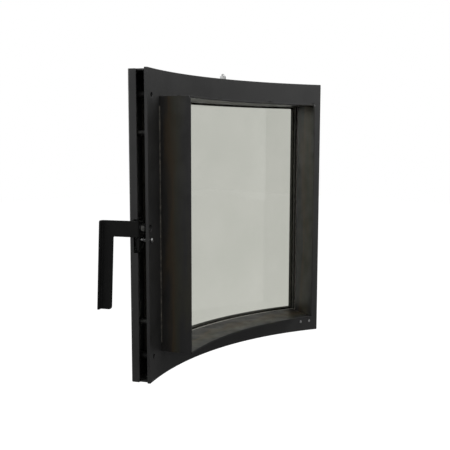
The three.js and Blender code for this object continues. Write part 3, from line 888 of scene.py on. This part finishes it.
stud_hole = circle(*on_arc(stud_angle, stud_out), stud_hole_radius)
end_sheet("shell_top_sheet", shell_top - skin_thickness, "shell_top", [stud_hole])
end_sheet("shell_bottom_sheet", shell_foot, "shell_bottom", [])

# %% [markdown]
# ## Turned pieces
#
# Screws, nuts, bushes, standoffs and spacers are turned on a lathe, and so are their meshes: a profile of
# heights and radii is spun into rings. A hexagon is a lathe shape too. Where a row of the profile names a
# size across flats, each point of the ring comes in to the flat, and the chamfer of a nut appears where
# the round profile cuts the hexagon, as on a real nut.

# %% Lathe helper
sides = 48
sharp_angle = math.radians(32)


def hexagon_reach(angle, across_flats):
    return across_flats / 2 / math.cos((angle + math.pi / 6) % (math.pi / 3) - math.pi / 6)


def symmetric(half, height):
    """A profile whose second half mirrors the first."""
    return half + [(height - level, *rest) for level, *rest in reversed(half)]


def stitch(bm, pairs, count):
    """Faces between pairs of rings; a ring may be a single point."""
    for low, high in pairs:
        for k in range(count):
            corners = [low[k % len(low)], low[(k + 1) % len(low)]]
            corners += [high[(k + 1) % len(high)], high[k % len(high)]]
            bm.faces.new(list(dict.fromkeys(corners)))


def turned(name, profile, foot, axis, material, node, body="door", bored=False):
    """Profile rows are (height, radius) or (height, radius, across flats), in millimetres."""
    turn = Vector(axis).to_track_quat("Z", "Y").to_matrix()
    bm = bmesh.new()
    rings = []
    for height, radius, *flats in profile:
        if radius == 0:
            rings.append([bm.verts.new(foot + turn @ Vector((0, 0, height)) * MM)])
            continue
        ring = []
        for k in range(sides):
            angle = 2 * math.pi * k / sides
            reach = min([radius] + [hexagon_reach(angle, f) for f in flats])
            spot = Vector((reach * math.cos(angle), reach * math.sin(angle), height))
            ring.append(bm.verts.new(foot + turn @ spot * MM))
        rings.append(ring)
    pairs = list(zip(rings, rings[1:]))
    if bored:
        pairs.append((rings[-1], rings[0]))
    stitch(bm, pairs, sides)
    bmesh.ops.recalc_face_normals(bm, faces=bm.faces)
    for edge in bm.edges:
        if len(edge.link_faces) == 2 and edge.calc_face_angle() > sharp_angle:
            edge.smooth = False
    mesh = bpy.data.meshes.new(name)
    bm.to_mesh(mesh)
    bm.free()
    finished(name, mesh, material, body, node)


def out_of_door(angle):
    return Vector((math.sin(angle), -math.cos(angle), 0))


def thread(start, end, radius, pitch, depth=0.35):
    """Rows of a threaded stretch: a ridge for each turn."""
    rows = []
    turns = max(1, int((end - start) / pitch))
    for k in range(turns):
        rows += [(start + k * pitch, radius - depth), (start + (k + 0.5) * pitch, radius)]
    return rows


# %% [markdown]
# ### Corner fixings and spacers
#
# Inside each corner a threaded standoff keeps plate and shell apart, and a small socket screw holds it
# from the fire side, sunk below the surface. Two zinc spacers bridge the open gap at each edge; their
# finish is darkened with painted shade for the deep shade of the gap.

# %% Corners and spacers
corner_angle = half_angle - corner_inset / plate_radius
spacer_inset, spacer_up = 8.7, 150.0
spacer_angle = half_angle - spacer_inset / plate_radius
room = skin_inside - gap - block_back
standoff = symmetric([(0, 2.3), (0, 5.4), (0.6, 6)], room)
spacer = symmetric([(0, 0), (0, 4.25), (0.5, 4.75)], room)
sunk_screw = [(2.7, 0), (2.7, 1.45, 2.5), (1.8, 1.6, 2.5)]
sunk_screw += [(1.8, 3.1), (2.1, 3.5), (3.6, 3.5), (3.6, 2), (17.6, 2), (17.6, 0)]
for side, edge_name in door_edges:
    for end, end_name in door_ends:
        axis = out_of_door(side * corner_angle)
        turned(
            f"standoff_{edge_name}_{end_name}",
            standoff,
            door_point(side * corner_angle, block_back, end * corner_up),
            axis,
            black_steel,
            f"corner_standoff_{edge_name}_{end_name}",
            bored=True,
        )
        turned(
            f"sunk_screw_{edge_name}_{end_name}",
            sunk_screw,
            door_point(side * corner_angle, 0, end * corner_up),
            axis,
            black_steel,
            f"corner_screw_{edge_name}_{end_name}",
        )
        turned(
            f"spacer_{edge_name}_{end_name}",
            spacer,
            door_point(side * spacer_angle, block_back, end * spacer_up),
            out_of_door(side * spacer_angle),
            deep_shade_zinc,
            f"gap_spacer_{edge_name}_{end_name}",
        )

# %% [markdown]
# ### Hinge blocks
#
# A steel block at each end of the hinge edge takes the stove's pin in a bronze bush. The lower block is
# held by two socket screws, whose ends show as bright dots on the fire side of the plate.

# %% Hinge blocks, bushes and screws
block_height = 28.0
pin_radius, bush_radius, bush_length = 4.0, 6.0, 20.0
chamfer = 0.4
bush = symmetric(
    [
        (chamfer, pin_radius),
        (0, pin_radius + chamfer),
        (0, bush_radius - chamfer),
        (chamfer, bush_radius),
    ],
    bush_length,
)
for inwards, end_name in ((1, "lower"), (-1, "upper")):
    bend_sheet(
        f"hinge_block_{end_name}_steel",
        box_outline(-block_width / 2, block_width / 2, block_back, block_front, radius=1.5),
        block_height,
        lambda x, y, n, inwards=inwards: door_point(hinge_angle, y, inwards * (n - half_height), x),
        black_steel,
        f"hinge_block_{end_name}",
        holes=[circle(0, hinge_out, bush_radius + gap)],
        edge=0.8,
    )
    turned(
        f"hinge_bush_{end_name}_bronze",
        bush,
        door_point(hinge_angle, hinge_out, -inwards * half_height),
        (0, 0, inwards),
        bronze,
        f"hinge_bush_{end_name}",
        bored=True,
    )

hinge_screw = [(-0.8, 0), (-0.8, 1.9), (-0.35, 2.4), (21, 2.4), (21, 4.2), (24.5, 4.2), (25, 3.8)]
hinge_screw += [(25, 2.2, 4), (23, 2.2, 4), (23, 0)]
for side, spot in ((-1, "outer"), (1, "inner")):
    turned(
        f"hinge_screw_{spot}_zinc",
        hinge_screw,
        door_point(hinge_angle, 0, hinge_screw_up, side * hinge_screw_side),
        out_of_door(hinge_angle),
        zinc,
        f"hinge_screw_{spot}",
    )

# %% [markdown]
# ### Stud and cap nut on top
#
# The bright dot above the rim in the photograph is a cap nut: a hexagon with a dome, on a washer.

# %% Top stud, washer and cap nut
top_washer_thickness = 1.6
stud_head = 2.6
stud_foot = shell_top - skin_thickness - gap - stud_head
washer_foot = shell_top + gap
nut_foot = washer_foot + top_washer_thickness + gap
stud = [(0, 0), (0, 5.7), (0.3, 6), (2.3, 6), (stud_head, 5.7), (stud_head, 3)]
stud += [(14.6, 3), (14.9, 2.7), (14.9, 0)]
washer = symmetric([(0, 3.3), (0, 6), (0.2, 6.2)], top_washer_thickness)

dome_foot, dome_radius, dome_steps = 6.8, 4.2, 8
nut_hole = [(7.1, 0), (7.1, 3.3), (0, 3.3)]
nut_hexagon = [(0, 4.85, 10), (0.4, 5.3, 10), (0.8, 5.8, 10), (6, 5.8, 10), (6.5, 5.2, 10)]
dome = []
for k in range(dome_steps):
    a = math.pi / 2 * k / dome_steps
    dome.append((dome_foot + dome_radius * math.sin(a), dome_radius * math.cos(a)))
cap_nut = nut_hole + nut_hexagon + dome + [(dome_foot + dome_radius, 0)]

for name, foot, profile in (
    ("cap_nut", nut_foot, cap_nut),
    ("washer", washer_foot, washer),
    ("stud", stud_foot, stud),
):
    turned(
        f"top_{name}_zinc",
        profile,
        door_point(stud_angle, stud_out, foot),
        (0, 0, 1),
        zinc,
        f"top_{name}",
        bored=name == "washer",
    )

# %% [markdown]
# ## Latch
#
# A stud welded in a folded bracket behind the skin carries the handle. A nut and a washer keep the
# handle's tab on it, and the hole in the plate behind the nut lets a socket key reach it. The stop screw
# below passes through the plate, the slot in the tab and the bracket, so the tab turns only a little.

# %% Latch bracket
pivot_along, stop_along = -pivot_inset, -stop_inset
bracket_back = 21.0
bracket_top, bracket_foot = 20.0, 32.0
bracket_left, bracket_right = -26.0, -3.6
flange_straight = 3.7
pivot_seat_radius = 4.3
bend_steps = 6


def bracket_fold(x, y, n):
    end, level = (1, bracket_top) if y > 0 else (-1, bracket_foot)
    past = end * y - (level - bend_radius)
    if past <= 0:
        return door_point(half_angle, bracket_back + n, y, x)
    radius = bend_radius - n
    if past <= bend_arc:
        a = past / bend_radius
        out, up = -radius * math.cos(a), level - bend_radius + radius * math.sin(a)
    else:
        out, up = past - bend_arc, level - n
    return door_point(half_angle, bracket_back + bend_radius + out, end * up, x)


foot_fold, top_fold = bend_radius - bracket_foot, bracket_top - bend_radius
past_fold = bend_arc + flange_straight
bracket_bends = [
    ((0, start + end * bend_arc * k / bend_steps, 0), (0, 1, 0))
    for end, start in ((-1, foot_fold), (1, top_fold))
    for k in range(bend_steps + 1)
]
bend_sheet(
    "latch_bracket_sheet",
    box_outline(bracket_left, bracket_right, foot_fold - past_fold, top_fold + past_fold, radius=1),
    wall,
    bracket_fold,
    black_steel,
    "latch_bracket",
    holes=[
        circle(pivot_along, pivot_up, pivot_seat_radius),
        circle(stop_along, stop_up, stop_hole_radius),
    ],
    bends=bracket_bends,
)

# %% Pivot, nut, washer and stop screw
def on_latch(name, profile, material, node, out, along=pivot_along, up=pivot_up, **more):
    foot = door_point(half_angle, out, up, along)
    turned(name, profile, foot, out_of_door(half_angle), material, node, **more)


on_latch(
    "pivot_stud_zinc",
    [(0, 0), (0, 3.3), *thread(0.4, 10.4, 3.95, 1.25), (10.4, 4), (18.8, 4), (18.8, 0)],
    gap_shade_zinc,
    "pivot_stud",
    out=6.4,
)
nut_height = 6.5
on_latch(
    "pivot_nut_zinc",
    symmetric([(0.5, 4.2), (0, 4.7), (0, 6.2, 13), (0.35, 6.85, 13), (0.8, 7.6, 13)], nut_height),
    gap_shade_zinc,
    "pivot_nut",
    out=7.4,
    bored=True,
)
pivot_washer_thickness = 1.9
on_latch(
    "pivot_washer_steel",
    symmetric([(0, 4.3), (0, 7.8), (0.25, 8)], pivot_washer_thickness),
    black_steel,
    "pivot_washer",
    out=14.2,
    bored=True,
)
on_latch(
    "handle_bush_bronze",
    [(0, 4.3), (0, 5), (0.3, 5.3), (3.3, 5.3)]
    + [(3.3, 6.3), (3.5, 6.5), (4.1, 6.5), (4.3, 6.3), (4.3, 4.3)],
    bronze,
    "handle_bush",
    out=16.4,
    body="handle",
    bored=True,
)
on_latch(
    "stop_screw_zinc",
    [(1.2, 0), (1.2, 1.8, 2.9), (0.2, 1.8, 2.9), (0, 2), (0, 3), (0.3, 3.6), (0.9, 4), (2.1, 4)]
    + [(2.4, 3.8), (2.4, 2.5), *thread(3.4, 26, 2.5, 0.8, 0.25), (26.6, 2.5), (27, 2.2), (27, 0)],
    zinc,
    "stop_screw",
    out=-3,
    along=stop_along,
    up=stop_up,
)

# %% [markdown]
# ## Handle
#
# One 3 mm strip makes the whole handle. In the flat it is a tab with the pivot hole and the stop slot,
# an arm, and a grip that hangs down from the arm's end. It is bent twice: the arm turns out of the tab
# past the edge of the shell, and a narrow flange turns off the front edge for the fingers. The front edge
# leans outwards as it goes down, so the flange's bend leans with it.

# %% Handle
tab_front = 19.4
tab_foot, tab_width = -36.0, 18.0
arm_radius = 7.0
arm_start = 23.4
arm_inside = 2.0
arm_half = 12.85
tab_end = arm_start - arm_radius * math.pi / 2
relief = 3.0  # the tab's lower part runs this much past the bend's start
grip_reach, grip_width, grip_foot = 79.1, 21.2, -131.0
flange_width = 7.0
flange_end = flange_width + bend_arc - bend_radius
lean = math.tan(math.radians(2.4))
on_the_corner = 0.01  # mm; points this near the tab's inner corner bend with the arm


def grip_front(up):
    return grip_reach - up * lean


def handle_fold(x, y, n):
    flange_start = grip_front(y) - bend_radius
    if x <= tab_end or (y < -arm_half - on_the_corner and x < arm_start - arm_radius):
        out, along = tab_front - n, x - tab_end - arm_inside
    elif x <= arm_start:
        a = (arm_start - x) / arm_radius
        radius = arm_radius - wall + n
        out, along = arm_start - radius * math.sin(a), radius * math.cos(a) - arm_inside
    elif x <= flange_start:
        out, along = x, arm_inside + n
    else:
        a = min((x - flange_start) / bend_radius, math.pi / 2)
        radius = bend_radius - n
        rest = max(0, x - flange_start - bend_arc)
        out = flange_start + radius * math.sin(a)
        along = arm_inside + bend_radius - radius * math.cos(a) + rest
    return door_point(half_angle, out, y, along)


handle_outline = rounded_outline(
    [
        (tab_end - tab_width, arm_half, 3),
        (tab_end - tab_width, tab_foot, 3),
        (tab_end + relief, tab_foot, 3),
        (tab_end + relief, -arm_half - relief, 0),
        (tab_end, -arm_half, 0),
        (grip_front(-arm_half) - grip_width, -arm_half, 2),
        (grip_front(grip_foot) - grip_width, grip_foot, 5),
        (grip_front(grip_foot) + flange_end, grip_foot, 1.5),
        (grip_front(arm_half) + flange_end, arm_half, 3),
    ]
)

pivot_x = tab_end + pivot_along + arm_inside
pivot_hole_radius = 5.6
swing = math.radians(7)
slot_radius = math.hypot(stop_along - pivot_along, stop_up - pivot_up)
slot_start = math.atan2(stop_up - pivot_up, stop_along - pivot_along)
slot_steps = 12
slot_loop = []
for angle, first in ((slot_start, 0), (slot_start - swing, math.pi)):
    cx = pivot_x + slot_radius * math.cos(angle)
    cy = pivot_up + slot_radius * math.sin(angle)
    for k in range(slot_steps + 1):
        a = angle + first + math.pi * k / slot_steps
        slot_end = Vector((cx + stop_hole_radius * math.cos(a), cy + stop_hole_radius * math.sin(a)))
        slot_loop.append(slot_end)

flange_steps = 8
flange_fold = grip_front(0) - bend_radius
flange_bend = [
    ((flange_fold + bend_arc * k / flange_steps, 0, 0), (1, lean, 0)) for k in range(flange_steps + 1)
]
bend_sheet(
    "handle_plate",
    handle_outline,
    wall,
    handle_fold,
    handle_paint,
    "handle",
    holes=[circle(pivot_x, pivot_up, pivot_hole_radius), slot_loop],
    bends=slices(tab_end, arm_start, step=0.9) + flange_bend,
    body="handle",
)

# %% [markdown]
# ## Weld beads
#
# The tunnel's strips are welded to the plate's fire face: the walls with a long bead each, the floor and
# the ceiling with three short ones, which show as dark spots in the photograph. The short ones' dark colour
# is painted shade, and the long ones' light grey is partly a painted highlight. A bead is a thin tube along
# the corner, half sunk in both sheets; it swells a little every 2 mm where the weld pool moved on.


# %% Weld helper
bead_sides = 10
bead_step = 0.6
ripple, ripple_length = 0.1, 2.2 * MM
bead_tip, mound_tip = 0.4, 0.02


def bead(name, path, radius, material, mound=False):
    """A rippled tube along a list of points in metres; a mound is thick in its middle only."""
    bm = bmesh.new()
    rings = []
    travelled = 0.0
    last = len(path) - 1
    for i, spot in enumerate(path):
        ahead = (path[min(i + 1, last)] - path[max(i - 1, 0)]).normalized()
        travelled += (spot - path[i - 1]).length if i else 0.0
        swell = radius * (1 + ripple * math.sin(travelled * 2 * math.pi / ripple_length))
        if mound:
            swell *= math.sqrt(max(mound_tip, 1 - (2 * i / last - 1) ** 2))
        elif i in (0, last):
            swell *= bead_tip
        turn = ahead.to_track_quat("Z", "Y").to_matrix()
        ring = [Vector((x, y, 0)) for x, y in circle(0, 0, swell, bead_sides)]
        rings.append([bm.verts.new(spot + turn @ offset * MM) for offset in ring])
    stitch(bm, zip(rings, rings[1:]), bead_sides)
    bm.faces.new(rings[0])
    bm.faces.new(rings[-1])
    bmesh.ops.recalc_face_normals(bm, faces=bm.faces)
    mesh = bpy.data.meshes.new(name)
    bm.to_mesh(mesh)
    bm.free()
    finished(name, mesh, material, "door")


# %% Weld beads
weld_out = -0.2  # the middle of a bead lies just before the plate's fire face
bead_radius, bead_beside, bead_inset = 1.7, 0.4, 12.0
bead_half = window_half - bead_inset
for side, edge_name in door_edges:
    along = side * (wall + bead_beside)
    upright = [
        door_point(side * window_angle, weld_out, bead_step * k - bead_half, along)
        for k in range(int(2 * bead_half / bead_step) + 1)
    ]
    bead(f"weld_{edge_name}", upright, bead_radius, weld_scale_and_highlight)

# The short welds get the dark blackened steel: painted shade that makes them read as dark spots.
tack_radius, tack_beside, tack_half = 3.3, 2.6, 10.0
tack_places = {"14_hinge": -13.6, "1_latch": 1.0, "14_latch": 14.0}  # degrees round the arc
for spot_name, degrees in tack_places.items():
    for end, end_name in door_ends:
        tack = [
            door_point(
                math.radians(degrees) + (bead_step * k - tack_half) / plate_radius,
                weld_out,
                end * (wall_half + tack_beside),
            )
            for k in range(int(2 * tack_half / bead_step) + 1)
        ]
        bead(f"tack_{end_name}_{spot_name}", tack, tack_radius, black_steel, mound=True)

# %% [markdown]
# ## CAD pieces that stay
#
# The four small blocks round the pane are right as they are. A narrow bevel breaks their edges, and they
# get the blackened steel.

# %% Glass rests and stops
broken_edge = 0.4
for kind in ("rest", "stop"):
    for _, edge_name in door_edges:
        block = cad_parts[f"glass_{kind}_{edge_name}"]
        block.material_slots[0].material = black_steel
        bevel = block.modifiers.new("broken edges", "BEVEL")
        bevel.width = broken_edge * MM
        bevel.segments = 2
        print("Kept", block.name)
